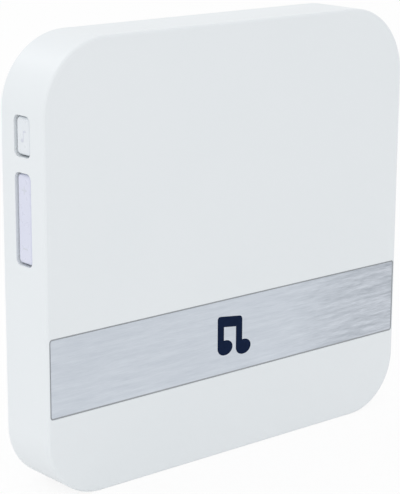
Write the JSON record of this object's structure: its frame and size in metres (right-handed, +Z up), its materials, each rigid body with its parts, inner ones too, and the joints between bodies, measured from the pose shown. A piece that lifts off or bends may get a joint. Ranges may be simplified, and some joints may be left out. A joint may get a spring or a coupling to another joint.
{
  "type": "doorbell chime",
  "caption": "Flat, nearly square indoor chime of a wireless doorbell, with a brushed metal strip across the front, a button and a tilting rocker in its left side, and a wall plug behind.",
  "frame": {"origin": "on the flat base, under the middle of the housing's width and depth", "axes": "+Z up, -Y out of the front face with the metal strip, +X to the right as seen from the front"},
  "size_m": [0.1, 0.049, 0.095],
  "materials": {
    "housing": "white moulded plastic with a fine matt texture",
    "keys": "white moulded plastic, smooth",
    "strip_metal": "brushed lengthwise, clear anodised",
    "tape": "double-sided adhesive film",
    "steel": "zinc-plated",
    "board": "glass-fibre laminate with green solder mask",
    "ribbon": "flat ribbon cable",
    "dome_rubber": "silicone rubber",
    "black_moulding": "black moulded plastic",
    "film_case": "moulded yellow case",
    "can_sleeve": "shrunk blue sleeve on an aluminium can",
    "resistor_coat": "fire-proof coating",
    "ferrite": "sintered, grey",
    "copper": "enamelled copper wire",
    "pin_brass": "nickel-plated brass",
    "contact_bronze": "rolled spring bronze",
    "cone_film": "pressed plastic film",
    "foam": "soft foam ring",
    "lead_insulation": "insulated wire"
  },
  "bodies": {
    "housing": {"front_cover": "housing", "rear_cover": "housing", "trim_strip": "strip_metal", "strip_tape": "tape", "rocker_axle": "steel", "key_bracket": "housing", "key_board": "board", "key_ribbon": "ribbon", "melody_dome": "dome_rubber", "volume_domes": "dome_rubber", "main_board": "board", "melody_chip": "black_moulding", "film_capacitor": "film_case", "filter_capacitor": "can_sleeve", "bridge_rectifier": "black_moulding", "fusible_resistor": "resistor_coat", "choke": "ferrite", "radio_board": "board", "radio_header": "black_moulding", "radio_chip": "black_moulding", "crystal_can": "steel", "antenna_coil": "copper", "plug_pins": "pin_brass", "pin_sleeves": "black_moulding", "mains_contacts": "contact_bronze", "speaker_frame": "steel", "speaker_yoke": "steel", "speaker_magnet": "ferrite", "pole_plate": "steel", "voice_coil": "copper", "speaker_cone": "cone_film", "speaker_gasket": "foam", "speaker_leads": "lead_insulation", "speaker_screws": "steel", "board_screws": "steel", "housing_screws": "steel"},
    "melody_key": {"melody_button": "keys"},
    "volume_key": {"volume_rocker": "keys"}
  },
  "joints": [
    {"name": "melody_press", "type": "slide", "parent": "housing", "child": "melody_key", "axis": [1, 0, 0], "range_m": [0, 0.0008], "stiffness_N_per_m": 1500, "deforming": ["melody_dome"]},
    {"name": "volume_rock", "type": "hinge", "parent": "housing", "child": "volume_key", "pos_m": [-0.04645, -0.0001, 0.0586], "axis": [0, 1, 0], "range_deg": [-3.5, 3.5], "stiffness_Nm_per_rad": 0.15, "deforming": ["volume_domes"]}
  ]
}
